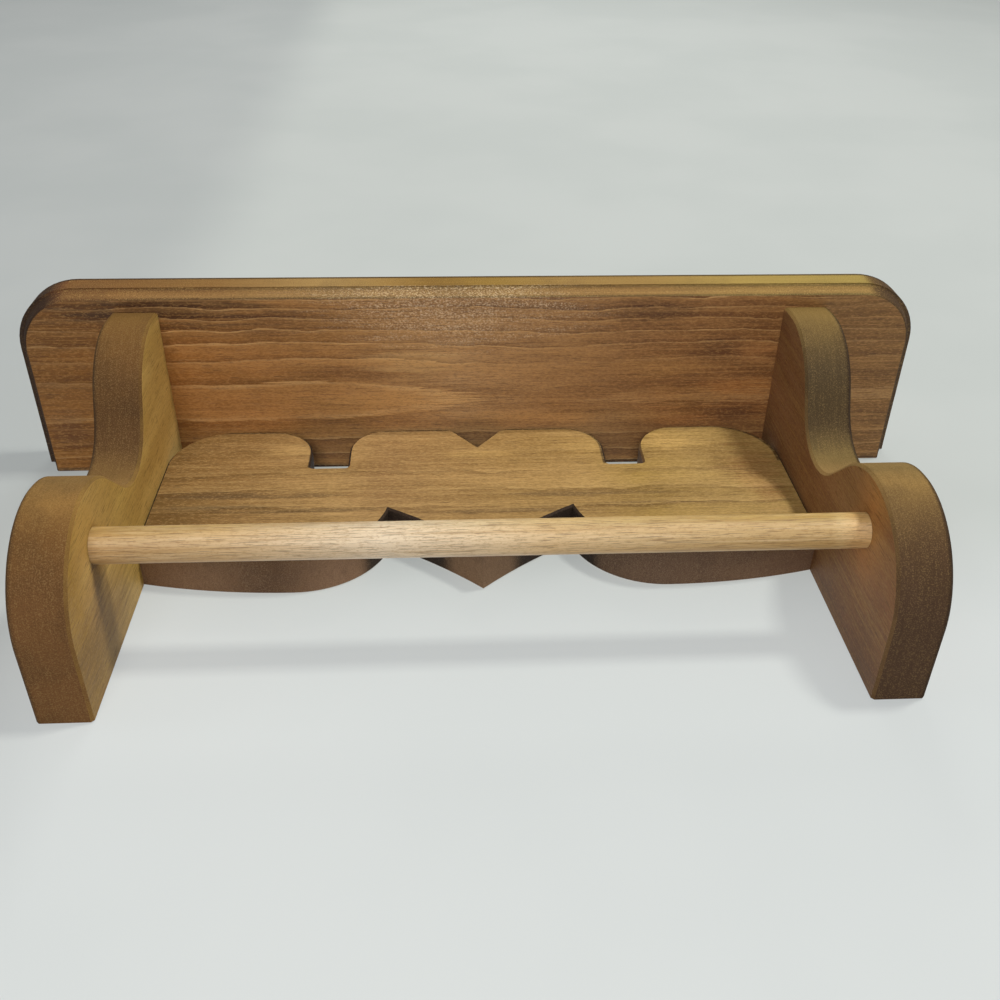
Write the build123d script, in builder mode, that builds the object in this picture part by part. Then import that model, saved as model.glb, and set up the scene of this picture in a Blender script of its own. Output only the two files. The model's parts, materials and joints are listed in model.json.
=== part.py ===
from build123d import *
import os
from math import asin, cos, hypot, pi, sqrt

# Wall shelf with a towel bar. X runs along the shelf, Y into the wall and Z up. The origin is the middle
# of the back panel's rear face, so the wall is the plane Y = 0 and the object stands out of it towards -Y.

# Stock
board_thickness = 19.0
bar_diameter = 12.7
edge_ease = 1.0

# Shelf board, with its overhangs past the brackets
shelf_length = 389.0
shelf_depth = 84.6
shelf_end_overhang = 43.25
shelf_front_overhang = 6.6
shelf_corner_radius = 27.0
moulding_height = 8.0
moulding_front_reveal = 2.2
moulding_end_reveal = 5.6
moulding_shoulder = 0.25
moulding_levels = 6

# Brackets: a shoulder, a hollow and a lobe, with setbacks measured from the brackets' fronts
bracket_top_setback = 1.1
shoulder_drop = 12.0
shoulder_radius = 33.5
slope_length = 9.4
hollow_setback = 14.3
hollow_radius = 23.8
neck_length = 16.4
lobe_setback = 48.0
lobe_radius = 37.0

# Towel bar
bar_before_lobe = 16.8
bar_below_lobe = 1.3
bar_seat_depth = 9.5
bar_radial_clearance = 0.08
bar_end_clearance = 0.4
bar_chamfer = 0.6

# Back panel: widths and lobe radii are shares of the half gap between the brackets
panel_height = 91.0
panel_ease = 0.8
dip_share = 0.087
dip_depth = 15.0
dip_shoulder_radius = 7.0
heart_share = 0.42
heart_lobe_share = 0.129
notch_share = 0.121
notch_depth = 30.7
notch_corner_radius = 1.5
side_lobe_inner_share = 0.144
side_lobe_outer_share = 0.197
cleft_share = 0.281
cleft_rise = 28.6
heart_side_bulge = 1.3
belly_share = 0.556
panel_end_rise = 7.3

# Screws and plugs
screw_shank_diameter = 4.2
screw_head_diameter = 8.4
screw_head_height = 3.0
screw_tip_length = 4.0
shelf_screw_length = 32.0
panel_screw_length = 38.0
plug_diameter = 9.5
plug_thickness = 5.0
fit_clearance = 0.05
pilot_extra_depth = 1.0
shelf_screw_reaches = (22.0, 58.0)
panel_screw_drops = (42.0, 72.0)

# Keyhole slots in the brackets' backs
keyhole_entry_diameter = 9.6
keyhole_neck_width = 5.0
keyhole_lip = 4.0
keyhole_channel_depth = 5.0
keyhole_drop = 12.0
keyhole_travel = 14.0

# Places that the sizes above give
underside_z = panel_height / 2
shelf_top_z = underside_z + board_thickness
bracket_outer_x = shelf_length / 2 - shelf_end_overhang
bracket_mid_x = bracket_outer_x - board_thickness / 2
bracket_inner_x = bracket_outer_x - board_thickness
bracket_front_y = shelf_front_overhang - shelf_depth
bar_radius = bar_diameter / 2
counterbore_depth = screw_head_height + plug_thickness


def next_centre(first, first_radius, second_radius, straight, across):
    """Centre of the lower arc of an S, so far across from the upper one that a straight parts the two"""
    apart = hypot(first_radius + second_radius, straight)
    return first + Vector(across, -sqrt(apart**2 - across**2))


def crossing_tangent(first, first_radius, second, second_radius, turn):
    """Ends of the straight between the two arcs of an S, with turn 1 if the first arc turns left, else -1"""
    span = second - first
    lean = asin((first_radius + second_radius) / span.length) * 180 / pi
    side = span.normalized().rotate(Axis.Z, turn * (lean - 90))
    return first + side * first_radius, second - side * second_radius


def shelf_section(height, share):
    """Shelf outline at a height above the underside, drawn in by a share of the moulding's reveals"""
    width = shelf_length - 2 * moulding_end_reveal * share
    depth = shelf_depth - moulding_front_reveal * share
    corner = shelf_corner_radius - (moulding_end_reveal + moulding_front_reveal) / 2 * share
    with BuildSketch(Plane.XY.offset(underside_z + height)) as outline:
        with Locations((0, -depth / 2)):
            Rectangle(width, depth)
        fillet(outline.vertices().group_by(Axis.Y)[0], radius=corner)
    return outline.sketch


def screws(length):
    """Pan-head screw in the builder that is open, at each location, with the head's underside as its zero"""
    shank_radius = screw_shank_diameter / 2
    straight = length - screw_tip_length
    Cylinder(screw_head_diameter / 2, screw_head_height, align=(Align.CENTER, Align.CENTER, Align.MIN))
    Cylinder(shank_radius, straight, align=(Align.CENTER, Align.CENTER, Align.MAX))
    with Locations((0, 0, -straight)):
        Cone(0, shank_radius, screw_tip_length, align=(Align.CENTER, Align.CENTER, Align.MAX))


# Where the screws go in: outward planes on the shelf's top and on the brackets' outer sides
shelf_screw_planes = [
    Plane(origin=(side * bracket_mid_x, -reach, shelf_top_z), z_dir=(0, 0, 1))
    for side in (-1, 1)
    for reach in shelf_screw_reaches
]
panel_screw_planes = [
    Plane(origin=(side * bracket_outer_x, -board_thickness / 2, underside_z - drop), z_dir=(side, 0, 0))
    for side in (-1, 1)
    for drop in panel_screw_drops
]

# Shelf board: the moulding is an ogee. Its share of the reveal runs from one at the underside to the
# shoulder's share, and its height follows half a cosine wave, level at both ends and steep in the middle.
with BuildPart() as shelf:
    rises = [level / moulding_levels for level in range(moulding_levels + 1)]
    loft([
        shelf_section(moulding_height * (1 - cos(pi * rise)) / 2, 1 - (1 - moulding_shoulder) * rise)
        for rise in rises
    ])
    extrude(shelf_section(moulding_height, 0), amount=board_thickness - moulding_height)
    top_rim = shelf.faces().sort_by(Axis.Z)[-1].edges().filter_by(lambda edge: edge.center().Y < -edge_ease)
    chamfer(top_rim, length=edge_ease)
    with Locations(*shelf_screw_planes):
        CounterBoreHole(
            screw_shank_diameter / 2 + fit_clearance,
            plug_diameter / 2 + fit_clearance,
            counterbore_depth,
            depth=board_thickness,
        )
shelf.part.label = "shelf"

# Bracket outline, down the front, in Y and Z: a shoulder, a hollow and the lobe that carries the bar
shoulder_centre = Vector(bracket_front_y + shoulder_radius, underside_z - shoulder_drop)
hollow_across = hollow_setback - shoulder_radius
hollow_centre = next_centre(shoulder_centre, shoulder_radius, hollow_radius, slope_length, hollow_across)
lobe_across = lobe_setback - hollow_setback
lobe_centre = next_centre(hollow_centre, hollow_radius, lobe_radius, neck_length, lobe_across)
bar_y = lobe_centre.X - bar_before_lobe
bar_z = lobe_centre.Y - bar_below_lobe
slope_start, slope_end = crossing_tangent(shoulder_centre, shoulder_radius, hollow_centre, hollow_radius, 1)
neck_start, neck_end = crossing_tangent(hollow_centre, hollow_radius, lobe_centre, lobe_radius, -1)
lobe_foot = lobe_centre - Vector(0, lobe_radius)

with BuildPart() as bracket_right:
    with BuildSketch(Plane.YZ.offset(bracket_inner_x)):
        with BuildLine():
            front = (bracket_front_y, shoulder_centre.Y)
            top = (bracket_front_y + bracket_top_setback, underside_z)
            TangentArc(front, top, tangent=(0, 1))
            shoulder = TangentArc(front, slope_start, tangent=(0, -1))
            slope = Line(shoulder @ 1, slope_end)
            hollow = TangentArc(slope @ 1, neck_start, tangent=slope % 1)
            neck = Line(hollow @ 1, neck_end)
            lobe = TangentArc(neck @ 1, lobe_foot, tangent=neck % 1)
            Polyline(lobe @ 1, (0, lobe_foot.Y), (0, underside_z), top)
        make_face()
    extrude(amount=board_thickness)
    scroll_rim = (
        bracket_right.faces()
        .filter_by(Axis.X)
        .edges()
        .filter_by(lambda edge: edge.center().Y < -edge_ease and edge.center().Z < underside_z - edge_ease)
    )
    chamfer(scroll_rim, length=edge_ease)
    with Locations(Plane(origin=(bracket_inner_x, bar_y, bar_z), z_dir=(-1, 0, 0))):
        Hole(bar_radius + bar_radial_clearance, depth=bar_seat_depth)
    with Locations(*panel_screw_planes[len(panel_screw_drops) :]):
        CounterBoreHole(
            screw_shank_diameter / 2 + fit_clearance,
            plug_diameter / 2 + fit_clearance,
            counterbore_depth,
            depth=board_thickness,
        )
    with Locations(*[Plane(origin=(bracket_mid_x, -reach, underside_z)) for reach in shelf_screw_reaches]):
        Hole(
            screw_shank_diameter / 2 + fit_clearance,
            depth=shelf_screw_length - (board_thickness - counterbore_depth) + pilot_extra_depth,
        )
    # Keyhole slot: the screw's head goes in at the bottom, then rides up behind the lip
    entry_z = underside_z - keyhole_drop - keyhole_travel
    travel_z = entry_z + keyhole_travel / 2
    with BuildSketch(Plane.XZ):
        with Locations((bracket_mid_x, entry_z)):
            Circle(keyhole_entry_diameter / 2)
        with Locations((bracket_mid_x, travel_z)):
            SlotCenterToCenter(keyhole_travel, keyhole_neck_width, rotation=90)
    extrude(amount=keyhole_lip, mode=Mode.SUBTRACT)
    with BuildSketch(Plane.XZ.offset(keyhole_lip)):
        with Locations((bracket_mid_x, travel_z)):
            SlotCenterToCenter(keyhole_travel, keyhole_entry_diameter, rotation=90)
    extrude(amount=keyhole_channel_depth, mode=Mode.SUBTRACT)
bracket_right.part.label = "bracket_right"

with BuildPart() as bracket_left:
    mirror(bracket_right.part, about=Plane.YZ)
bracket_left.part.label = "bracket_left"

# Back panel: one board, sawn along half of the outline and along its mirror image
with BuildPart() as back_panel:
    panel_top = panel_height / 2
    panel_foot = -panel_height / 2
    heart_x = heart_share * bracket_inner_x
    lobe_x = heart_x + notch_share * bracket_inner_x
    notch_z = panel_top - notch_depth
    with BuildSketch(Plane.XZ):
        with BuildLine():
            FilletPolyline(
                (0, panel_top - dip_depth),
                (dip_share * bracket_inner_x, panel_top),
                (heart_x, panel_top),
                (heart_x, notch_z),
                (lobe_x, notch_z),
                (lobe_x, panel_top),
                (bracket_inner_x, panel_top),
                (bracket_inner_x, panel_foot + panel_end_rise),
                radius=[
                    dip_shoulder_radius,
                    heart_lobe_share * bracket_inner_x,
                    notch_corner_radius,
                    notch_corner_radius,
                    side_lobe_inner_share * bracket_inner_x,
                    side_lobe_outer_share * bracket_inner_x,
                ],
            )
            belly = (belly_share * bracket_inner_x, panel_foot)
            cleft = (cleft_share * bracket_inner_x, panel_foot + cleft_rise)
            TangentArc(belly, (bracket_inner_x, panel_foot + panel_end_rise), tangent=(1, 0))
            TangentArc(belly, cleft, tangent=(-1, 0))
            SagittaArc(cleft, (0, panel_foot), -heart_side_bulge)
            mirror(about=Plane.YZ)
        make_face()
    extrude(amount=board_thickness)
    saw_rim = (
        back_panel.faces()
        .sort_by(Axis.Y)[0]
        .edges()
        .filter_by(lambda edge: abs(edge.center().X) < bracket_inner_x - panel_ease)
    )
    chamfer(saw_rim, length=panel_ease)
    with Locations(
        *[
            Plane(origin=(side * bracket_inner_x, -board_thickness / 2, underside_z - drop), z_dir=(side, 0, 0))
            for side in (-1, 1)
            for drop in panel_screw_drops
        ]
    ):
        Hole(
            screw_shank_diameter / 2 + fit_clearance,
            depth=panel_screw_length - (board_thickness - counterbore_depth) + pilot_extra_depth,
        )
back_panel.part.label = "back_panel"

# Towel bar: a plain dowel, trapped dry between two blind holes, so it turns
with BuildPart() as towel_bar:
    with BuildSketch(Plane.YZ.offset(-bracket_inner_x - bar_seat_depth + bar_end_clearance)):
        with Locations((bar_y, bar_z)):
            Circle(bar_radius)
    extrude(amount=2 * (bracket_inner_x + bar_seat_depth - bar_end_clearance))
    chamfer(towel_bar.edges().filter_by(GeomType.CIRCLE), length=bar_chamfer)
towel_bar.part.label = "towel_bar"

with BuildPart() as shelf_screws:
    with Locations(*[plane.offset(-counterbore_depth) for plane in shelf_screw_planes]):
        screws(shelf_screw_length)
shelf_screws.part.label = "shelf_screws"

with BuildPart() as panel_screws:
    with Locations(*[plane.offset(-counterbore_depth) for plane in panel_screw_planes]):
        screws(panel_screw_length)
panel_screws.part.label = "panel_screws"

with BuildPart() as shelf_plugs:
    with Locations(*shelf_screw_planes):
        Cylinder(plug_diameter / 2, plug_thickness, align=(Align.CENTER, Align.CENTER, Align.MAX))
shelf_plugs.part.label = "shelf_plugs"

with BuildPart() as bracket_plugs:
    with Locations(*panel_screw_planes):
        Cylinder(plug_diameter / 2, plug_thickness, align=(Align.CENTER, Align.CENTER, Align.MAX))
bracket_plugs.part.label = "bracket_plugs"

os.makedirs("parts", exist_ok=True)
pieces = (
    shelf,
    bracket_left,
    bracket_right,
    back_panel,
    towel_bar,
    shelf_screws,
    panel_screws,
    shelf_plugs,
    bracket_plugs,
)
for piece in pieces:
    export_step(piece.part, f"parts/{piece.part.label}.step")
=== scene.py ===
import json

import bpy
import numpy as np
from mathutils import Matrix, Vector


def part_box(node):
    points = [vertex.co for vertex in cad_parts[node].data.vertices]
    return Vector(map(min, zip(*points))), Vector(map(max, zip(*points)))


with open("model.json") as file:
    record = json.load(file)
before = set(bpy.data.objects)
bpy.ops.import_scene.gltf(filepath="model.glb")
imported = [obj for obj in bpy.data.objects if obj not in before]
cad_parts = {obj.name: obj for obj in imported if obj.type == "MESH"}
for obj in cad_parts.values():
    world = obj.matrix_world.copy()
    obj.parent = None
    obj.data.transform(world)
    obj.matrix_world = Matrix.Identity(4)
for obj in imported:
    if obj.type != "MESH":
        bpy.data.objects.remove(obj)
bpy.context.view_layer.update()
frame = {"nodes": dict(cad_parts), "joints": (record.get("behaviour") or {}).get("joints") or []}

nodes = frame["nodes"]


# Units, turns of the grain, and the places that the finishes are painted by, in millimetres

MM = 0.001
NOWHERE = (0.0, 0.0, 0.0)
QUARTER = np.pi / 2
ALONG_X = NOWHERE
ALONG_Z = (0.0, QUARTER, 0.0)
ACROSS_Z = (-QUARTER, 0.0, 0.0)


def box_of(name):
    """A node's lowest and highest corners in millimetres."""
    return [[round(float(level) / MM, 2) for level in corner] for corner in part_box(name)]


shelf_low, shelf_high = box_of("shelf")
bracket_low, bracket_high = box_of("bracket_right")
UNDERSIDE = shelf_low[2]
TOP = shelf_high[2]
MOULDING_TOP = UNDERSIDE + 8.0
CORNER_START = shelf_high[0] - 27.0
BRACKET_INSIDE = bracket_low[0]
BRACKET_OUTSIDE = bracket_high[0]
BAR_AXLE = [level / MM for level in frame["joints"][0]["pos_m"]]
BAR_Y, BAR_Z = BAR_AXLE[1:]

# The panel's outline: the heart's upright side, a notch's outer wall and its floor, and where the
# painted shade in the clefts beside the heart begins

HEART_EDGE = 55.23
NOTCH_EDGE = 71.14
NOTCH_FLOOR = 14.8
DARK_CLEFT = -31.0


# Small helpers for colours and shader trees


def tint(code):
    """Six hex digits of a paint code as linear red, green, blue and 1."""
    share = np.array([int(code[i:i + 2], 16) for i in (0, 2, 4)]) / 255
    linear = np.where(share <= 0.04045, share / 12.92, ((share + 0.055) / 1.055) ** 2.4)
    return (*linear, 1.0)


def add(tree, kind, inputs=None, **settings):
    """One shader node with its settings, and a value or another node's output on each named input."""
    made = tree.nodes.new("ShaderNode" + kind)
    for name, value in settings.items():
        setattr(made, name, value)
    for socket, value in (inputs or {}).items():
        if isinstance(value, bpy.types.NodeSocket):
            tree.links.new(value, made.inputs[socket])
        else:
            made.inputs[socket].default_value = value
    return made


def sums(tree, operation, first, second=0.0, third=0.0):
    """The result of one arithmetic step on values or outputs."""
    return add(tree, "Math", {0: first, 1: second, 2: third}, operation=operation).outputs[0]


def times(tree, first, second):
    """Two values multiplied."""
    return sums(tree, "MULTIPLY", first, second)


def times_plus(tree, first, second, third):
    """Two values multiplied, and a third one added."""
    return sums(tree, "MULTIPLY_ADD", first, second, third)


def spread(tree, value, low, high, new_low=0.0, new_high=1.0):
    """A value from low to high carried smoothly over to new_low to new_high, and held beyond them."""
    ranged = add(tree, "MapRange", {"Value": value, "From Min": low, "From Max": high,
                                    "To Min": new_low, "To Max": new_high}, interpolation_type="SMOOTHSTEP")
    return ranged.outputs["Result"]


def grown(tree, value, level, share):
    """A share that grows from nothing to the whole of it while the value goes from 0 to the level."""
    return spread(tree, value, 0.0, level, 0.0, share)


def blend(tree, share, first, second):
    """The first colour with the second over it by that share."""
    return add(tree, "Mix", {"Factor": share, 6: first, 7: second}, data_type="RGBA").outputs[2]


def painted(tree, colour, mask, share, tone):
    """The colour with a tone over it where the mask is, by that share."""
    return blend(tree, times(tree, mask, share), colour, tone)


def ramp(tree, value, stops, start=0.0):
    """A tone that runs through the stops, each a level of the value and a paint code. Levels rise, and they
    are counted from the start."""
    low, high = stops[0][0], stops[-1][0]
    share = add(tree, "MapRange", {"Value": value, "From Min": start + low, "From Max": start + high})
    made = add(tree, "ValToRGB", {"Fac": share.outputs["Result"]})
    points = made.color_ramp.elements
    points[0].color, points[1].color = tint(stops[0][1]), tint(stops[-1][1])
    for level, code in stops[1:-1]:
        points.new((level - low) / (high - low)).color = tint(code)
    return made.outputs["Color"]


def axes(tree, place):
    """A place's three coordinates."""
    return add(tree, "SeparateXYZ", {0: place}).outputs[:3]


def moved(tree, place, by):
    """A place moved by a step in millimetres."""
    return add(tree, "VectorMath", {0: place, 1: by}, operation="ADD").outputs[0]


def cloud(tree, place, scales, seed, detail=2.0, roughness=0.5):
    """Soft noise from about -1 to 1 with that many spots a millimetre on each axis."""
    shift = seed if isinstance(seed, bpy.types.NodeSocket) else (seed, seed, seed)
    spot = add(tree, "VectorMath", {0: place, 1: scales, 2: shift}, operation="MULTIPLY_ADD").outputs[0]
    noise = add(tree, "TexNoise", {"Vector": spot, "Scale": 1.0, "Detail": detail, "Roughness": roughness})
    return spread(tree, noise.outputs["Fac"], 0.28, 0.72, -1.0, 1.0)


def effect(name, inputs, outputs, wiring):
    """A shader node group with named sockets. wiring(tree, inputs by name) gives the outputs by name, which
    are all plain values."""
    tree = bpy.data.node_groups.new(name, "ShaderNodeTree")
    for socket, (kind, value) in inputs.items():
        made = tree.interface.new_socket(socket, in_out="INPUT", socket_type="NodeSocket" + kind)
        made.default_value = value
    for socket in outputs:
        tree.interface.new_socket(socket, in_out="OUTPUT", socket_type="NodeSocketFloat")
    way_in = tree.nodes.new("NodeGroupInput")
    way_out = tree.nodes.new("NodeGroupOutput")
    results = wiring(tree, {socket: way_in.outputs[socket] for socket in inputs})
    for socket, result in results.items():
        tree.links.new(result, way_out.inputs[socket])
    return tree


def placed(tree, group, inputs):
    """The outputs of a node group placed in a material."""
    return add(tree, "Group", inputs, node_tree=group).outputs


# Effects that the woods share


def own_cloud(tree, i, scales, step, detail=2.0, roughness=0.5):
    """A cloud over a group's own place, with the group's own seed moved on by a step."""
    seed = sums(tree, "ADD", i["Seed"], step) if step else i["Seed"]
    return cloud(tree, i["Place"], scales, seed, detail, roughness)


def ring_wiring(tree, i):
    """Growth rings of a board sawn off the side of a log. A ring is all places at one distance from the
    pith line. To the left and right of the middle the pith line bows away from the board and then levels
    out, so that rings close in pointed arches. Some years' lines are stronger than others, and each comes
    and goes along its length."""
    waver = own_cloud(tree, i, (0.013, 0.03, 0.03), 0.0)
    ripple = own_cloud(tree, i, (0.045, 0.08, 0.08), 3.0)
    jag = own_cloud(tree, i, (0.045, 1.1, 1.1), 7.0, 4.0, 0.6)
    x, y, z = axes(tree, i["Place"])
    across = times_plus(tree, waver, i["Waver"], y)
    across = times_plus(tree, ripple, times(tree, i["Waver"], 0.4), across)
    left_end = times(tree, i["Bow Length"], -1.0)
    sag = times(tree, spread(tree, x, 0.0, left_end), i["Bow Left"])
    sag = times_plus(tree, spread(tree, x, 0.0, i["Bow Length"]), i["Bow Right"], sag)
    depth = sums(tree, "ADD", sums(tree, "SUBTRACT", i["Pith Depth"], sag), z)
    radius = sums(tree, "SQRT", times_plus(tree, across, across, times(tree, depth, depth)))
    radius = times_plus(tree, jag, i["Jag"], radius)
    count = sums(tree, "DIVIDE", sums(tree, "SUBTRACT", radius, i["First Ring"]), i["Ring Width"])
    number = sums(tree, "ADD", sums(tree, "FLOOR", count), i["Seed"])
    luck = add(tree, "TexWhiteNoise", {"W": number}, noise_dimensions="1D").outputs["Value"]
    fade = spread(tree, own_cloud(tree, i, (0.02, 0.08, 0.08), 13.0), -0.9, 0.4, 0.4, 1.0)
    force = times(tree, fade, times_plus(tree, luck, 0.5, 0.5))
    year = sums(tree, "FRACT", count)
    drop = spread(tree, year, 1.0, 0.985)
    line = times(tree, times(tree, spread(tree, year, 0.86, 0.97), drop), force)
    early = times(tree, spread(tree, year, 0.30, 0.0), spread(tree, year, 0.0, 0.02))
    return {"Late": times(tree, spread(tree, year, 0.2, 1.0), drop), "Line": line,
            "Early": times(tree, early, force)}


def fibre_wiring(tree, i):
    """Long fibres along X: streaks with finer silk in them, short dark pores, a fuzz of fibre ends, and the
    height that they give the surface."""
    streak = own_cloud(tree, i, (0.012, 0.8, 0.8), 0.0, 3.0, 0.6)
    silk = own_cloud(tree, i, (0.05, 2.6, 2.6), 2.0)
    pores = own_cloud(tree, i, i["Pore Size"], 5.0, 1.0)
    pores = spread(tree, pores, sums(tree, "SUBTRACT", 1.0, i["Pores"]), 1.0)
    fuzz = own_cloud(tree, i, (0.6, 1.7, 1.7), 8.0, 2.0, 0.7)
    height = times_plus(tree, silk, 0.5, times(tree, fuzz, 0.4))
    return {"Streak": times_plus(tree, silk, 0.4, times(tree, streak, 0.6)),
            "Pore": pores, "Fuzz": fuzz, "Height": sums(tree, "SUBTRACT", height, pores)}


def cut_wiring(tree, i):
    """Where a board's face gives way to its cut edge: Share is how squarely the surface faces the board's
    flat side. Rim is the eased edge between them, scuffed in places."""
    rub = own_cloud(tree, i, (0.05, 0.05, 0.05), 0.0)
    rim = times(tree, spread(tree, i["Share"], 0.60, 0.78), spread(tree, i["Share"], 0.96, 0.86))
    return {"Edge": spread(tree, i["Share"], 0.95, 0.72),
            "Rim": times(tree, rim, spread(tree, rub, -0.9, 0.6, 0.3, 1.0))}


def sanded_wiring(tree, i):
    """A sawn and sanded cut: open cell ends as fine specks, faint lines drawn out by Scratch, and broad
    patches where the stain went in deeper."""
    speck = own_cloud(tree, i, (2.4, 2.4, 2.4), 0.0, 1.0)
    patch = own_cloud(tree, i, (0.04, 0.04, 0.04), 4.0, 4.0, 0.6)
    scratch = own_cloud(tree, i, i["Scratch"], 9.0, 3.0)
    return {"Speck": times_plus(tree, scratch, 0.2, times(tree, speck, 0.8)), "Patch": patch}


def spot_wiring(tree, i):
    """A soft-edged spot, strongest at Centre and gone at Reach from it on each axis, its border frayed along
    the grain."""
    fray = cloud(tree, i["Place"], (0.03, 0.5, 0.5), 21.0, 4.0, 0.65)
    apart = add(tree, "VectorMath", {0: i["Place"], 1: i["Centre"]}, operation="SUBTRACT").outputs[0]
    share = add(tree, "VectorMath", {0: apart, 1: i["Reach"]}, operation="DIVIDE").outputs[0]
    far = add(tree, "VectorMath", {0: share}, operation="LENGTH").outputs["Value"]
    far = times_plus(tree, fray, i["Fray"], far)
    return {"Spot": spread(tree, far, 1.0, 0.25)}


rings = effect("growth_rings", {
    "Place": ("Vector", NOWHERE), "Pith Depth": ("Float", 50.0), "Bow Left": ("Float", 1.0),
    "Bow Right": ("Float", 1.0), "Bow Length": ("Float", 90.0), "First Ring": ("Float", 50.0),
    "Ring Width": ("Float", 3.2), "Waver": ("Float", 1.4), "Jag": ("Float", 0.2), "Seed": ("Float", 0.0),
}, ("Late", "Line", "Early"), ring_wiring)
fibres = effect("wood_fibres", {
    "Place": ("Vector", NOWHERE), "Pores": ("Float", 0.2), "Pore Size": ("Vector", (0.11, 1.9, 1.9)),
    "Seed": ("Float", 0.0),
}, ("Streak", "Pore", "Fuzz", "Height"), fibre_wiring)
cuts = effect("cut_edges", {
    "Place": ("Vector", NOWHERE), "Share": ("Float", 1.0), "Seed": ("Float", 0.0),
}, ("Edge", "Rim"), cut_wiring)
sanding = effect("sanded_cut", {
    "Place": ("Vector", NOWHERE), "Scratch": ("Vector", (0.1, 0.1, 1.2)), "Seed": ("Float", 0.0),
}, ("Speck", "Patch"), sanded_wiring)
spots = effect("stain_spot", {
    "Place": ("Vector", NOWHERE), "Centre": ("Vector", NOWHERE), "Reach": ("Vector", (10.0, 10.0, 10.0)),
    "Fray": ("Float", 0.2),
}, ("Spot",), spot_wiring)


# Finishes


def new_material(name):
    """A material with its Principled shader wired to the output."""
    made = bpy.data.materials.new(name)
    made.use_nodes = True
    tree = made.node_tree
    tree.nodes.clear()
    shader = add(tree, "BsdfPrincipled")
    add(tree, "OutputMaterial", {"Surface": shader.outputs["BSDF"]})
    return made, tree, shader


def millimetres(tree, turn=NOWHERE):
    """The place on the object in millimetres, turned so that the grain lies along X."""
    coordinates = add(tree, "TexCoord").outputs["Object"]
    return add(tree, "Mapping", {"Vector": coordinates, "Rotation": turn, "Scale": (1 / MM, 1 / MM, 1 / MM)},
               vector_type="POINT").outputs[0]


def facing(tree, axis):
    """How squarely the surface faces along one of the object's axes, from 0 to 1."""
    normal = add(tree, "TexCoord").outputs["Normal"]
    return sums(tree, "ABSOLUTE", add(tree, "SeparateXYZ", {0: normal}).outputs[axis])


def spot_at(tree, place, centre, reach, fray):
    """One stain spot as a mask."""
    return placed(tree, spots, {"Place": place, "Centre": centre, "Reach": reach, "Fray": fray})["Spot"]


def spotted(tree, place, colour, level, depth, marks):
    """The colour with a row of stain spots over it. A mark is its place along and across the grain, its
    reach along and across it, its fray, its share and its tone. Level and depth are the place and the reach
    of them all through the board."""
    for along, across, length, width, fray, share, tone in marks:
        spot = spot_at(tree, place, (along, across, level), (length, width, depth), fray)
        colour = painted(tree, colour, spot, share, tint(tone))
    return colour


def mottled(tree, place, scales, seed, detail, roughness, deep, plain):
    """The stain's ground: a deep and a plain tone that change places in broad clouds along the grain."""
    mottle = spread(tree, cloud(tree, place, scales, seed + 31, detail, roughness), -1.0, 1.0)
    return blend(tree, mottle, deep, plain)


def grained(tree, colour, year, fibre, tones, looks):
    """A board's face: its ground colour with the growth rings, the fibres and the pores over it."""
    for part in ("Late", "Early", "Line"):
        colour = painted(tree, colour, year[part], looks[part.lower()], tones[part.lower()])
    for level, tone in ((-1.0, "streak"), (1.0, "late")):
        for part in ("Streak", "Fuzz"):
            colour = blend(tree, grown(tree, fibre[part], level, looks[part.lower()]), colour, tones[tone])
    return painted(tree, colour, fibre["Pore"], looks["pore"], tones["pore"])


def roughened(tree, colour, sanded, tones, looks):
    """A cut edge: its ground colour with patches and specks over it. The pale specks are fainter where deep
    stain has made the cut nearly black."""
    depth = add(tree, "RGBToBW", {0: colour}).outputs[0]
    shown = spread(tree, depth, 0.0, 0.06, 0.3, 1.0)
    pale = times(tree, grown(tree, sanded["Speck"], 1.0, looks["speck"]), shown)
    for part in ("Patch", "Speck"):
        colour = blend(tree, grown(tree, sanded[part], -1.0, looks[part.lower()]), colour, tones["cut_dark"])
    return blend(tree, pale, colour, tones["cut_light"])


def finished(tree, shader, colour, rough, height, strength, relief, gloss=None):
    """Wires a colour, a roughness and a surface height to the shader. The relief is in millimetres."""
    tree.links.new(colour, shader.inputs["Base Color"])
    tree.links.new(rough, shader.inputs["Roughness"])
    bump = add(tree, "Bump", {"Height": height, "Strength": strength, "Distance": relief * MM})
    tree.links.new(bump.outputs[0], shader.inputs["Normal"])
    if gloss is not None:
        shader.inputs["Specular IOR Level"].default_value = gloss


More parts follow.
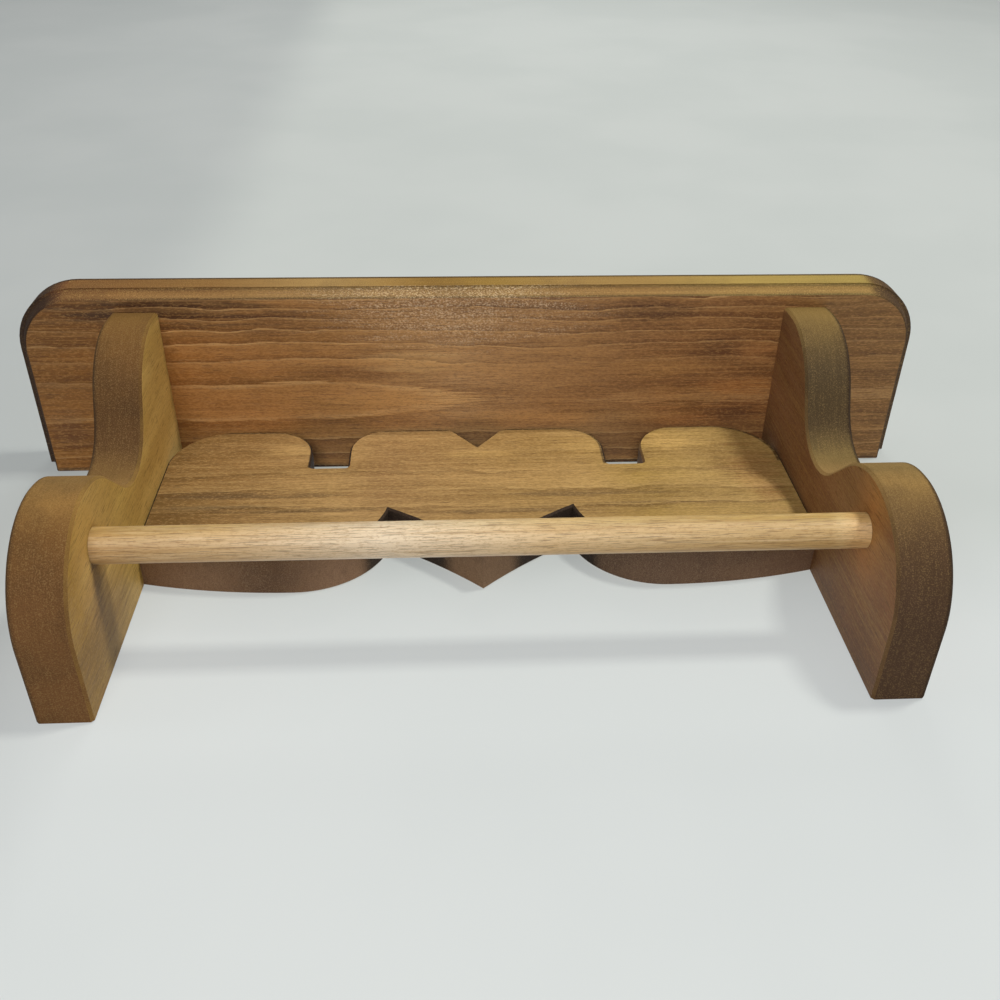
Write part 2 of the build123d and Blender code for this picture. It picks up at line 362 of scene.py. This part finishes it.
def stained_pine(name, flat_axis, turn, figure, seed, ring, ground, tones, looks):
    """Stained pine. ground(tree, place, seed) gives the tones under the grain on the flat faces and under
    the specks on the cut edges, the tone of the eased rims, how far the cut's tone covers the flat faces
    too, and how faint the rings are."""
    made, tree, shader = new_material(name)
    place = millimetres(tree, turn)
    year = placed(tree, rings, {"Place": moved(tree, place, figure), "Seed": seed, **ring})
    fibre = placed(tree, fibres, {"Place": place, "Seed": seed + 11, "Pores": looks["pores"],
                                  "Pore Size": looks["pore_size"]})
    sanded = placed(tree, sanding, {"Place": place, "Seed": seed + 23, "Scratch": looks["scratch"]})
    tones = {part: tint(code) for part, code in tones.items()}
    face, cut, rim, covered, calm = ground(tree, place, seed)
    shown = sums(tree, "SUBTRACT", 1.0, calm)
    year = {part: times(tree, year[part], shown) for part in ("Late", "Line", "Early")}
    face = grained(tree, face, year, fibre, tones, looks)
    cut = roughened(tree, cut, sanded, tones, looks)
    masks = placed(tree, cuts, {"Place": place, "Share": facing(tree, flat_axis), "Seed": seed + 41})
    edge = masks["Edge"]
    colour = blend(tree, sums(tree, "MAXIMUM", edge, covered), face, cut)
    colour = painted(tree, colour, masks["Rim"], looks["rim"], rim)
    rough = times_plus(tree, fibre["Streak"], 0.06, looks["rough"])
    rough = times_plus(tree, edge, looks["cut_rough"], rough)
    height = add(tree, "Mix", {"Factor": edge, 2: fibre["Height"], 3: sanded["Speck"]}, data_type="FLOAT")
    finished(tree, shader, colour, rough, height.outputs[0], looks["bump"], 0.08, looks["gloss"])
    return made


def shelf_face(tree, place, seed):
    """The shelf's flat faces: orange brown at the left, redder at the right, olive brown past the brackets
    and darker along the front, with pale flames in the tongue of its grain and a line of painted contact
    shade along the back edge at the wall."""
    x, y = axes(tree, place)[:2]
    deep = ramp(tree, x, ((-150, "764B1A"), (-132, "885B2C"), (-60, "986C3B"), (-30, "A57B4E"),
                          (-10, "A77E53"), (45, "9C7248"), (85, "845B36"), (110, "845A35"),
                          (130, "79512E"), (150, "6F4F2B")))
    plain = ramp(tree, x, ((-150, "8F5C22"), (-132, "A66F36"), (-60, "B7844E"), (-30, "C19561"),
                           (-10, "C49B6B"), (45, "B68A58"), (85, "9F6F43"), (110, "A06E42"),
                           (130, "966438"), (150, "876135")))
    face = mottled(tree, place, (0.012, 0.05, 0.05), seed, 5.0, 0.65, deep, plain)
    face = spotted(tree, place, face, UNDERSIDE - 0.5, 40.0, (
        (-128.0, -79.0, 76.0, 13.0, 0.30, 0.95, "3C2414"),
        (-179.0, -21.0, 14.0, 13.0, 0.30, 0.55, "5C3620"),
        (-80.0, -73.0, 50.0, 8.0, 0.40, 0.60, "5C3B26"),
        (-42.0, -48.5, 48.0, 5.0, 0.30, 0.50, "6A4328"),
        (-36.0, -34.0, 44.0, 6.5, 0.50, 0.36, "CC9A5A"),
        (-27.0, -53.0, 26.0, 8.0, 0.45, 0.62, "D8AE74"),
        (-15.0, -22.5, 52.0, 3.6, 0.25, 0.45, "5E3C26"),
        (122.0, -57.0, 14.0, 7.0, 0.35, 0.45, "BC8450"),
        (-65.0, -9.0, 34.0, 7.0, 0.30, 0.50, "6A462C"),
        (45.0, -78.0, 66.0, 5.0, 0.30, 0.50, "624230"),
        (76.0, -76.0, 26.0, 8.0, 0.35, 0.70, "553826"),
        (106.0, -57.0, 15.0, 9.0, 0.35, 0.60, "5C3C28"),
        (66.0, -63.0, 28.0, 9.0, 0.35, 0.30, "6A4830"),
        (86.0, -49.0, 30.0, 7.0, 0.35, 0.50, "B88850"),
        (96.0, -33.0, 17.0, 10.0, 0.35, 0.50, "64401E"),
        (118.0, -39.0, 26.0, 6.0, 0.25, 0.65, "B67C44"),
        (115.0, -25.0, 20.0, 6.0, 0.35, 0.60, "5C3C28"),
        (44.0, -25.0, 66.0, 4.0, 0.30, 0.55, "C2945C"),
        (66.0, -9.0, 30.0, 7.0, 0.30, 0.50, "66442C")))
    # Painted contact shade: a dark line along the underside's back edge where it meets the wall.
    return blend(tree, spread(tree, y, -2.2, -0.9, 0.0, 0.9), face, tint("2A1A10"))


def shelf_ground(tree, place, seed):
    """The shelf: its flat faces, and cut edges whose moulded front is gold, whose rounded corners are brown
    and whose end grain is nearly black. The moulding's quirks and its top arris are dark, and towards the
    ends its shoulder takes the end grain's tone; these dark lines are partly stain and partly painted shade.
    About the middle of the front a painted sheen of pale glints and dark specks stands for the varnish's
    reflection."""
    face = shelf_face(tree, place, seed)
    x, z = axes(tree, place)[::2]
    far = sums(tree, "ABSOLUTE", x)
    # The first tone is for the dark arrises; the other two are the pale glints and the dark specks of the
    # painted sheen.
    dark_arris_tone, bare, pit = tint("2A1C13"), tint("DCC4A4"), tint("5E3E2A")

    # A painted sheen about the middle of the front: pale glints and dark specks that stand for the varnish's
    # reflection.
    grit = cloud(tree, place, (1.1, 1.5, 1.5), seed + 51, 2.0, 0.7)
    sheen_patch = spot_at(tree, place, (-12.0, -78.0, 50.0), (74.0, 22.0, 60.0), 0.3)
    sheen_patch = times(tree, sheen_patch, spread(tree, z, MOULDING_TOP + 0.7, MOULDING_TOP - 0.1))
    painted_glints = times(tree, sheen_patch, spread(tree, grit, 0.0, 0.9, 0.10, 1.0))
    sheen_dark_specks = times(tree, sheen_patch, grown(tree, grit, -0.7, 0.5))
    face = blend(tree, sheen_dark_specks, blend(tree, painted_glints, face, bare), pit)

    front = ramp(tree, x, ((-172, "734E23"), (-110, "866030"), (-60, "A88750"), (-20, "906C2C"),
                           (10, "927230"), (40, "9B7A43"), (75, "9A7A41"), (110, "A88D48"), (168, "A08A46")))
    # The cove's dark lines at its quirks are partly stain and partly painted shade.
    cove = ramp(tree, z, ((0.1, "34211A"), (0.8, "3A261A"), (1.4, "88663A"), (3.3, "946E40"),
                          (5.9, "805A30"), (7.1, "6A4828"), (7.7, "2A1B13"), (8.3, "785A32")), UNDERSIDE)
    low = spread(tree, z, MOULDING_TOP + 0.2, MOULDING_TOP - 0.2)
    moulded = blend(tree, low, front, blend(tree, 0.66, front, cove))
    moulded = blend(tree, spread(tree, x, -120.0, -CORNER_START - 0.5, 0.0, 0.5), moulded, tint("7E5228"))
    # The painted sheen's glints and dark specks go on over the moulding too.
    moulded = painted(tree, moulded, painted_glints, 0.8, tint("DCC49E"))
    moulded = painted(tree, moulded, sheen_dark_specks, 0.8, tint("5A3C24"))
    corner = ramp(tree, x, ((-180, "6A3C1E"), (180, "5C4420")))
    moulded = blend(tree, spread(tree, far, CORNER_START + 1.0, CORNER_START + 6.5), moulded, corner)

    quirk = times(tree, spread(tree, z, MOULDING_TOP - 2.0, MOULDING_TOP - 0.3),
                  spread(tree, z, MOULDING_TOP + 6.5, MOULDING_TOP + 3.5))
    side = ramp(tree, x, ((-190, "2E180C"), (190, "45301C")))
    # Towards the ends the shoulder takes the end grain's near-black tone, partly stain and partly painted
    # shade.
    ledge = times(tree, quirk, spread(tree, far, CORNER_START + 5.5, CORNER_START + 16.5))
    moulded = blend(tree, ledge, moulded, side)
    cut = blend(tree, spread(tree, facing(tree, "X"), 0.10, 0.50), moulded, side)
    # The dark top arris is partly stain and partly painted shade.
    top = spread(tree, z, TOP - 3.0, TOP - 2.0)
    cut = painted(tree, cut, top, 0.85, dark_arris_tone)

    calm = times(tree, spot_at(tree, place, (78.0, -38.0, 45.0), (110.0, 44.0, 60.0), 0.3), 0.68)
    past_brackets = spread(tree, far, BRACKET_OUTSIDE - 1.25, BRACKET_OUTSIDE + 1.75, 0.0, 0.6)
    calm = sums(tree, "MAXIMUM", calm, past_brackets)
    return face, cut, blend(tree, top, tint("3E2A1C"), dark_arris_tone), quirk, calm


shelf_pine = stained_pine(
    "stained_pine_shelf_finish", "Z", ALONG_X, (-15.0, 34.5, -UNDERSIDE), 1.0,
    {"Pith Depth": 50.08, "Bow Left": 1.06, "Bow Right": 0.2, "Bow Length": 90.0, "First Ring": 50.0,
     "Ring Width": 3.2, "Waver": 1.3, "Jag": 0.14},
    shelf_ground,
    {"late": "CC9A5E", "line": "DFB47A", "early": "543420", "streak": "5E3C26", "pore": "3A2518",
     "cut_dark": "4A3420", "cut_light": "C4A262"},
    {"pores": 0.15, "pore_size": (0.10, 2.4, 2.4), "late": 0.33, "early": 0.50, "line": 0.76, "streak": 0.32,
     "fuzz": 0.30, "pore": 0.4, "speck": 0.4, "patch": 0.2, "rim": 0.3, "rough": 0.46, "cut_rough": 0.4,
     "bump": 0.6, "gloss": 0.32, "scratch": (0.03, 0.9, 0.9)})


def bracket_face(tree, place, seed, z, right):
    """The brackets' flat faces: olive gold on the left one and redder and darker on the right one, partly
    their own tones and partly painted shade, and deeper towards the bottom, with a painted shadow of the bar
    under its left end and a painted contact shadow in a ring about each end."""
    left_deep = ramp(tree, z, ((-110, "8A6418"), (-99, "9C721C"), (-86, "BE924C"), (-70, "C29C56"),
                               (-40, "B8934A"), (45, "BE9B54")))
    left_plain = ramp(tree, z, ((-110, "A27A26"), (-99, "B68A2C"), (-86, "DCB465"), (-70, "E0BB6E"),
                                (-40, "D4B05E"), (45, "DAB76E")))
    right_deep = ramp(tree, z, ((-110, "744523"), (-95, "7C4B28"), (-79, "9E6538"), (-60, "865C3C"),
                                (-38, "84583A"), (0, "7A5538"), (45, "80593D")))
    right_plain = ramp(tree, z, ((-110, "8A572A"), (-95, "946235"), (-79, "BC834A"), (-60, "A0764C"),
                                 (-38, "9C7048"), (0, "906A48"), (45, "966E4E")))
    face = mottled(tree, place, (0.012, 0.05, 0.05), seed, 4.0, 0.6,
                   blend(tree, right, left_deep, right_deep), blend(tree, right, left_plain, right_plain))
    inside = BRACKET_INSIDE - 0.25
    face = spotted(tree, place, face, inside, 3.0, (
        (-84.0, -8.0, 52.0, 36.0, 0.15, 0.75, "70521E"),
        # A painted shadow of the bar on the left bracket's inner face, under the bar's end.
        (-78.0, -43.0, 7.0, 6.5, 0.10, 0.90, "53391D"),
        (-80.5, -35.0, 8.0, 9.0, 0.12, 0.75, "5C4123"),
        (-84.0, -27.0, 9.0, 10.0, 0.15, 0.55, "624625"),
        # A painted contact shadow in a ring about the bar's left end.
        (BAR_Z, BAR_Y, 9.5, 9.5, 0.05, 0.80, "4A3218")))
    return spotted(tree, place, face, -inside, 3.0, (
        (-84.0, -4.0, 60.0, 34.0, 0.15, 0.60, "5C381A"),
        # A painted contact shadow in a ring about the bar's right end.
        (BAR_Z, BAR_Y, 9.0, 9.0, 0.05, 0.50, "4A2C18")))


def bracket_ground(tree, place, seed):
    """The brackets: their flat faces, and front edges that are golden at the shelf, in the hollow and at the
    lobe's middle, and dark on the slope and low on the lobe, partly end grain and partly painted light and
    shade, lighter where the edge faces up and darker where it faces down. The arrises on their outer sides
    are dark, partly stain and partly painted contact shade."""
    z, x = axes(tree, place)[::2]
    x = times(tree, x, -1.0)
    right = spread(tree, x, -50.0, 50.0)
    face = bracket_face(tree, place, seed, z, right)
    height = times_plus(tree, cloud(tree, place, (0.06, 0.06, 0.06), seed + 37, 3.0, 0.6), 1.5, z)
    # The front edge's tone by height: partly end grain, partly painted light and shade.
    left_cut = ramp(tree, height, ((-111, "744F2C"), (-104, "684726"), (-92, "765229"), (-79, "906B38"),
                                   (-66, "806236"), (-30, "967442"), (-9, "5E4224"), (2, "5D4023"),
                                   (14, "704E28"), (40, "7B5A2B")))
    right_cut = ramp(tree, height, ((-111, "4E3828"), (-101, "543D27"), (-88, "705632"), (-76, "8E703F"),
                                    (-66, "80683C"), (-30, "9A7C4A"), (-16, "7C673C"), (-5, "4A3B25"),
                                    (9, "4F402A"), (22, "705A33"), (40, "856B39")))
    cut = blend(tree, right, left_cut, right_cut)
    dark_arris_tone = tint("2C1E14")
    # Dark outer arrises: partly stain, partly painted contact shade.
    outer = spread(tree, sums(tree, "ABSOLUTE", x), BRACKET_OUTSIDE - 2.25, BRACKET_OUTSIDE - 1.05)
    cut = painted(tree, cut, outer, spread(tree, right, 0.0, 1.0, 0.35, 0.75), dark_arris_tone)
    pale = blend(tree, right, tint("A8863E"), tint("A07A48"))
    return face, cut, blend(tree, outer, pale, dark_arris_tone), 0.0, 0.0


bracket_pine = stained_pine(
    "stained_pine_bracket_finish", "X", ALONG_Z, (0.0, 25.0, 0.0), 5.0,
    {"Pith Depth": 190.0, "Bow Left": 0.3, "Bow Right": 0.3, "Bow Length": 100.0, "First Ring": 31.6,
     "Ring Width": 6.5, "Waver": 3.0, "Jag": 0.5},
    bracket_ground,
    {"late": "C09C58", "line": "C09C58", "early": "80602F", "streak": "74562C", "pore": "4A3419",
     "cut_dark": "3E2C1A", "cut_light": "A88A58"},
    {"pores": 0.32, "pore_size": (0.14, 3.0, 3.0), "late": 0.1, "early": 0.2, "line": 0.12, "streak": 0.22,
     "fuzz": 0.22, "pore": 0.5, "speck": 0.28, "patch": 0.25, "rim": 0.35, "rough": 0.7, "cut_rough": 0.15,
     "bump": 0.4, "gloss": 0.2, "scratch": (0.05, 0.05, 1.5)})


def lobe_line(tree, x, z, edge, radius):
    """A thin line just inside the right side of a lobe: along its arc, which meets the shelf's underside, and
    along the straight edge under the arc. The edge is that side's place."""
    across = sums(tree, "MAXIMUM", sums(tree, "SUBTRACT", x, edge - radius), 0.0)
    up = sums(tree, "MAXIMUM", sums(tree, "SUBTRACT", z, UNDERSIDE - radius), 0.0)
    far = sums(tree, "SQRT", times_plus(tree, across, across, times(tree, up, up)))
    line = times(tree, spread(tree, far, radius - 1.8, radius - 1.0),
                 spread(tree, far, radius + 1.6, radius + 0.8))
    return times(tree, line, spread(tree, z, NOTCH_FLOOR - 0.6, NOTCH_FLOOR + 0.4))


def panel_face(tree, place, seed, x, z):
    """The back panel's flat faces: gold, browner to the left, with grey smudges under the bar, a painted
    shadow of the right bracket over its right part, a dark line along the top where the panel meets the shelf
    that is partly a dark joint and partly painted contact shade, and a thin dark line on the right side of
    each lobe."""
    deep = ramp(tree, x, ((-131, "6A4D26"), (-100, "826034"), (-60, "9E7C4A"), (-40, "947046"),
                          (15, "A07E48"), (45, "A4824A"), (68, "94763B"), (95, "9E8048"), (131, "9E8048")))
    plain = ramp(tree, x, ((-131, "7F5F33"), (-100, "9C7746"), (-60, "BC9660"), (-40, "AA8554"),
                           (15, "B8935A"), (45, "BC985C"), (68, "AC8C48"), (95, "B89858"), (131, "B89858")))
    face = mottled(tree, place, (0.012, 0.06, 0.06), seed, 5.0, 0.65, deep, plain)
    smudge = "5E4830"
    face = spotted(tree, place, face, 0.0, 60.0, (
        (-104.0, -5.5, 40.0, 4.2, 0.35, 0.85, smudge),
        (-70.0, -5.8, 18.0, 2.8, 0.3, 0.6, smudge),
        (-112.0, -14.5, 40.0, 2.8, 0.3, 0.95, "523E28"),
        (-70.0, -17.0, 40.0, 2.2, 0.3, 0.7, "523E28"),
        (46.0, -8.0, 44.0, 3.6, 0.35, 0.60, smudge),
        (4.0, -20.0, 52.0, 2.4, 0.3, 0.7, smudge),
        (62.0, -15.8, 40.0, 2.0, 0.3, 0.45, smudge),
        (-20.0, -4.0, 18.0, 5.0, 0.4, 0.35, "D8B070"),
        (-78.0, 28.0, 16.0, 7.0, 0.6, 0.5, "D8B070"),
        (50.0, 30.0, 20.0, 10.0, 0.5, 0.45, "D6B068"),
        (3.0, 24.0, 20.0, 6.0, 0.4, 0.36, "E0B870"),
        # The dark marks about x 106 to 121 and the reddish one over them are a painted shadow of the right
        # bracket.
        (110.0, 8.0, 15.0, 8.0, 0.5, 0.85, "7C5C2E"),
        (106.0, 22.0, 10.0, 16.0, 0.4, 0.55, "7E6030"),
        (121.0, -9.0, 9.0, 12.0, 0.4, 0.45, "7C5C2E"),
        (84.0, 32.0, 18.0, 12.0, 0.5, 0.7, "D6B068"),
        (120.0, 10.0, 15.0, 34.0, 0.3, 0.40, "A0683C"),
        (-104.0, 34.0, 24.0, 10.0, 0.4, 0.3, "A07C4C")))
    # Along the top where the panel meets the shelf: partly a dark joint, partly painted contact shade.
    face = blend(tree, spread(tree, z, UNDERSIDE - 1.1, UNDERSIDE - 0.1, 0.0, 0.9), face, tint("32231A"))
    for edge, radius in ((-NOTCH_EDGE, 18.94), (HEART_EDGE, 16.96), (BRACKET_INSIDE - 0.75, 25.9)):
        face = painted(tree, face, lobe_line(tree, x, z, edge, radius), 0.9, tint("22150D"))
    return face


def panel_ground(tree, place, seed):
    """The back panel: its flat faces, a greyish brown sawn lower edge, and cuts painted nearly black as shade
    in the clefts beside the heart and in the notches at the top, but for the right notch's lit wall."""
    x, z = axes(tree, place)[:2]
    face = panel_face(tree, place, seed, x, z)
    cut = ramp(tree, x, ((-131, "87664A"), (-104, "7E6046"), (-80, "654A32"), (-56, "8C6C52"),
                         (-20, "886A4E"), (45, "6E5642"), (68, "664E3C"), (100, "70553F"), (131, "785A44")))
    # Painted shade: the cuts in the clefts and the notches are nearly black.
    cut = blend(tree, spread(tree, z, DARK_CLEFT - 5.5, DARK_CLEFT, 0.0, 0.92), cut, tint("170F0B"))
    lit = times(tree, spread(tree, x, NOTCH_EDGE - 0.74, NOTCH_EDGE - 0.14), spread(tree, x, 80.0, 75.0))
    lit = times(tree, lit, spread(tree, z, NOTCH_FLOOR - 6.8, NOTCH_FLOOR - 2.8, 0.0, 0.85))
    cut = blend(tree, lit, cut, tint("7C5C34"))
    # The rims there are darker too, painted shade.
    rim = blend(tree, spread(tree, z, DARK_CLEFT - 5.5, DARK_CLEFT), tint("6E5434"), tint("4A3622"))
    return face, cut, rim, 0.0, spread(tree, z, NOTCH_FLOOR - 5.8, NOTCH_FLOOR - 0.8, 0.0, 0.9)


panel_pine = stained_pine(
    "stained_pine_panel_finish", "Y", ACROSS_Z, (0.0, -62.0, 0.0), 9.0,
    {"Pith Depth": 34.0, "Bow Left": 4.5, "Bow Right": 4.5, "Bow Length": 250.0, "First Ring": 36.3,
     "Ring Width": 9.6, "Waver": 2.5, "Jag": 0.35},
    panel_ground,
    {"late": "D0AC70", "line": "D8B478", "early": "664A28", "streak": "7A5A2C", "pore": "523A1E",
     "cut_dark": "46342A", "cut_light": "9C8264"},
    {"pores": 0.30, "pore_size": (0.10, 3.0, 3.0), "late": 0.16, "early": 0.55, "line": 0.22, "streak": 0.40,
     "fuzz": 0.36, "pore": 0.55, "speck": 0.35, "patch": 0.3, "rim": 0.25, "rough": 0.55, "cut_rough": 0.2,
     "bump": 0.5, "gloss": 0.3, "scratch": (0.9, 0.9, 0.25)})


def bare_hardwood(name, axle, tones):
    """Pale sanded hardwood: fine short pores and pale ends. Across the bar a painted highlight runs along its
    middle, with painted shade on its lower side and an olive stripe near its top. Along its length the bar
    has a painted highlight about its middle and painted light near its right end, and it is yellower towards
    the ends."""
    made, tree, shader = new_material(name)
    place = millimetres(tree)
    tones = {part: tint(code) for part, code in tones.items()}
    fibre = placed(tree, fibres, {"Place": place, "Seed": 3.0, "Pores": 0.68, "Pore Size": (0.13, 3.2, 3.2)})
    x = axes(tree, place)[0]
    # Across the bar: a painted highlight along its middle, painted shade on its lower side, an olive stripe
    # near its top.
    from_axle = moved(tree, place, [-level for level in axle])
    painted_shading_level = add(tree, "VectorMath", {0: from_axle, 1: (0.0, -0.805, 0.593)}, operation="DOT_PRODUCT")
    painted_shading_level = times_plus(tree, cloud(tree, place, (0.012, 0.2, 0.2), 17.0, 3.0), 1.1, painted_shading_level.outputs["Value"])
    colour = ramp(tree, painted_shading_level, ((-6.3, "B48C5C"), (-4.0, "CCA674"), (-1.0, "DEBE90"), (2.2, "D8B886"),
                                (3.4, "C6A66C"), (4.2, "A88C54"), (5.0, "B09658"), (6.3, "C6AA6A")))
    # Along the bar: a painted highlight about its middle and painted light near its right end.
    shade = ramp(tree, x, ((-131, "B28E58"), (-90, "CCA876"), (-35, "FFF2DC"), (20, "E4C494"),
                           (90, "BC9858"), (118, "B89450"), (122, "DCBC80"), (127, "DDB070"),
                           (133, "DDB47A")))
    colour = blend(tree, 0.48, colour, shade)
    for part, level, share, tone in (("Streak", 1.0, 0.40, "light"), ("Streak", -1.0, 0.50, "streak"),
                                     ("Fuzz", -1.0, 0.35, "streak")):
        colour = blend(tree, grown(tree, fibre[part], level, share), colour, tones[tone])
    colour = painted(tree, colour, fibre["Pore"], 0.5, tones["pore"])
    end = spread(tree, facing(tree, "X"), 0.2, 0.6)
    colour = painted(tree, colour, end, 0.6, tones["light"])
    rough = times_plus(tree, fibre["Streak"], 0.06, 0.48)
    finished(tree, shader, colour, rough, fibre["Height"], 0.4, 0.06, 0.35)
    return made


def zinc_plate(name):
    """Zinc-plated steel: fine grit and dull patches."""
    made, tree, shader = new_material(name)
    place = millimetres(tree)
    grit = cloud(tree, place, (3.0, 3.0, 3.0), 2.0, 4.0)
    dull = cloud(tree, place, (0.3, 0.3, 0.3), 6.0, 3.0)
    colour = blend(tree, spread(tree, dull, -1.0, 1.0), tint("A9A8A2"), tint("C6C5BE"))
    finished(tree, shader, colour, spread(tree, dull, -1.0, 1.0, 0.48, 0.28), grit, 0.2, 0.02)
    shader.inputs["Metallic"].default_value = 1.0
    return made


def plug_ground(tree, place, seed):
    """The plugs: brown, a little darker than the board about them."""
    face = mottled(tree, place, (0.05, 0.2, 0.2), seed, 4.0, 0.6, tint("744E30"), tint("8F683E"))
    return face, tint("6E4E30"), tint("8A6A40"), 0.0, 0.0


plug_pine = stained_pine(
    "wood_plug_finish", "Z", ALONG_X, NOWHERE, 14.0,
    {"Pith Depth": 60.0, "Bow Left": 0.0, "Bow Right": 0.0, "Bow Length": 50.0, "First Ring": 31.6,
     "Ring Width": 2.2, "Waver": 1.0, "Jag": 0.2},
    plug_ground,
    {"late": "A98250", "line": "A98250", "early": "5A3C26", "streak": "553823", "pore": "3A2518",
     "cut_dark": "4E3820", "cut_light": "9C7A4C"},
    {"pores": 0.25, "pore_size": (0.11, 1.9, 1.9), "late": 0.3, "early": 0.4, "line": 0.4, "streak": 0.3,
     "fuzz": 0.15, "pore": 0.5, "speck": 0.4, "patch": 0.3, "rim": 0.3, "rough": 0.5, "cut_rough": 0.1,
     "bump": 0.4, "gloss": 0.4, "scratch": (0.5, 0.5, 0.5)})
dowel_wood = bare_hardwood("bare_dowel_finish", BAR_AXLE, {
    "light": "EBD2AC", "streak": "A87C46", "pore": "5E3A1C"})
zinc = zinc_plate("screw_steel_finish")

finishes = {"shelf": shelf_pine, "bracket_left": bracket_pine, "bracket_right": bracket_pine,
            "back_panel": panel_pine, "towel_bar": dowel_wood, "shelf_screws": zinc, "panel_screws": zinc,
            "shelf_plugs": plug_pine, "bracket_plugs": plug_pine}
for name, finish in finishes.items():
    nodes[name].material_slots[0].material = finish


# Ground, lamps and camera, in metres


def ground_finish():
    """Pale matt board under the shelf's back. To the eye and in gloss half of its light is its own glow, so
    that shadows on it stay soft; that glow is painted light, paler where it is nearer the viewer and dimmer
    far to the left. Light passes through it from behind, and from behind it isn't seen, so that the back of
    the shelf shows too."""
    made, tree, shader = new_material("pale_ground")
    place = millimetres(tree)
    x, z = axes(tree, place)[::2]
    tone = cloud(tree, place, (0.006, 0.006, 0.006), 8.0, 3.0)
    colour = blend(tree, spread(tree, tone, -1.0, 1.0), tint("BCC1BE"), tint("C4C8C5"))
    tree.links.new(colour, shader.inputs["Base Color"])
    shader.inputs["Roughness"].default_value = 0.9
    shader.inputs["Specular IOR Level"].default_value = 0.1
    # Painted light in the glow: paler nearer the viewer and dimmer far to the left.
    own = blend(tree, spread(tree, z, 10.0, -90.0), tint("C8CDC9"), tint("EAEEEE"))
    own = blend(tree, spread(tree, x, -130.0, -215.0), own, tint("AEB2B2"))
    glow = add(tree, "Emission", {"Color": own, "Strength": 1.0}).outputs["Emission"]
    rays = add(tree, "LightPath").outputs
    seen = times(tree, sums(tree, "MAXIMUM", rays["Is Camera Ray"], rays["Is Glossy Ray"]), 0.5)
    front = add(tree, "MixShader", {0: seen, 1: shader.outputs["BSDF"], 2: glow}).outputs[0]
    behind = add(tree, "NewGeometry").outputs["Backfacing"]
    clear = add(tree, "BsdfTransparent").outputs["BSDF"]
    passing = sums(tree, "MAXIMUM", behind, rays["Is Shadow Ray"])
    mixed = add(tree, "MixShader", {0: passing, 1: front, 2: clear}).outputs[0]
    output = next(node for node in tree.nodes if node.type == "OUTPUT_MATERIAL")
    tree.links.new(mixed, output.inputs["Surface"])
    return made


def make_ground(reach, behind):
    """A square sheet in the wall plane, just behind the shelf's back, facing the viewer."""
    corners = [(x * reach, behind, z * reach) for x, z in ((-1, -1), (1, -1), (1, 1), (-1, 1))]
    mesh = bpy.data.meshes.new("ground")
    mesh.from_pydata(corners, [], [(0, 1, 2, 3)])
    mesh.materials.append(ground_finish())
    sheet = bpy.data.objects.new("ground", mesh)
    bpy.context.scene.collection.objects.link(sheet)


def turned(side, up, back):
    """The turn that lays X, Y and Z along these three directions."""
    return Matrix(np.column_stack([side, up, back]).tolist()).to_4x4()


def soft_lamp(name, towards, distance, size, watts, colour, shines=True):
    """A square lamp that far from the middle of the shelf's back, in the direction towards, facing it.
    Without shines it gives soft light only, and no gloss."""
    back = np.array(towards) / np.linalg.norm(towards)
    side = np.cross((0.0, 0.0, 1.0), back)
    side /= np.linalg.norm(side)
    lamp = bpy.data.lights.new(name, "AREA")
    lamp.shape = "SQUARE"
    lamp.size = size
    lamp.energy = watts
    lamp.color = colour
    made = bpy.data.objects.new(name, lamp)
    bpy.context.scene.collection.objects.link(made)
    place = (back * distance).tolist()
    made.matrix_world = Matrix.Translation(place) @ turned(side, np.cross(back, side), back)
    made.visible_glossy = shines


def make_world():
    """A pale even surround to the eye, and a dimmer one as light on the object."""
    world = bpy.data.worlds.new("studio")
    bpy.context.scene.world = world
    world.use_nodes = True
    sky = world.node_tree
    sky.nodes.clear()
    seen = add(sky, "LightPath").outputs["Is Camera Ray"]
    ambient = add(sky, "Background", {"Color": tint("E4E4E8"), "Strength": 0.22}).outputs[0]
    pale = add(sky, "Background", {"Color": tint("CDD1CF"), "Strength": 1.0}).outputs[0]
    either = add(sky, "MixShader", {0: seen, 1: ambient, 2: pale}).outputs[0]
    add(sky, "OutputWorld", {"Surface": either})


def make_camera():
    """A camera in front of the wall and below the shelf that looks up and back at its underside, held so
    that the shelf's front edge is at the top of its picture."""
    eye = bpy.data.cameras.new("eye")
    eye.sensor_width = 36.0
    eye.lens = 38.06
    eye.shift_x = -0.0065
    place = (-0.01304, -0.26142, -0.36825)
    to_right = (0.99833, -0.01593, -0.05546)
    to_top = (0.01802, -0.82700, 0.56191)
    to_back = (-0.05481, -0.56197, -0.82534)
    camera = bpy.data.objects.new("eye", eye)
    bpy.context.scene.collection.objects.link(camera)
    camera.matrix_world = Matrix.Translation(place) @ turned(to_right, to_top, to_back)
    bpy.context.scene.camera = camera


make_ground(1.6, 0.0006)
soft_lamp("window_right", (0.42, -1.0, 0.06), 1.6, 0.2, 14.0, (1.0, 0.99, 0.94))
soft_lamp("lamp_far", (0.10, -0.55, 0.85), 1.6, 0.6, 7.5, (1.0, 1.0, 0.97), shines=False)
soft_lamp("fill_near", (-0.10, -0.62, -0.85), 1.8, 0.7, 13.5, (1.0, 1.0, 1.0))
soft_lamp("fill_left", (-1.0, -1.0, 0.0), 1.8, 0.5, 2.0, (0.98, 0.98, 1.0))
soft_lamp("lamp_behind", (0.0, 1.0, 0.7), 1.8, 1.2, 16.0, (1.0, 1.0, 1.0))
make_world()
make_camera()
bpy.context.scene.view_settings.view_transform = "Standard"
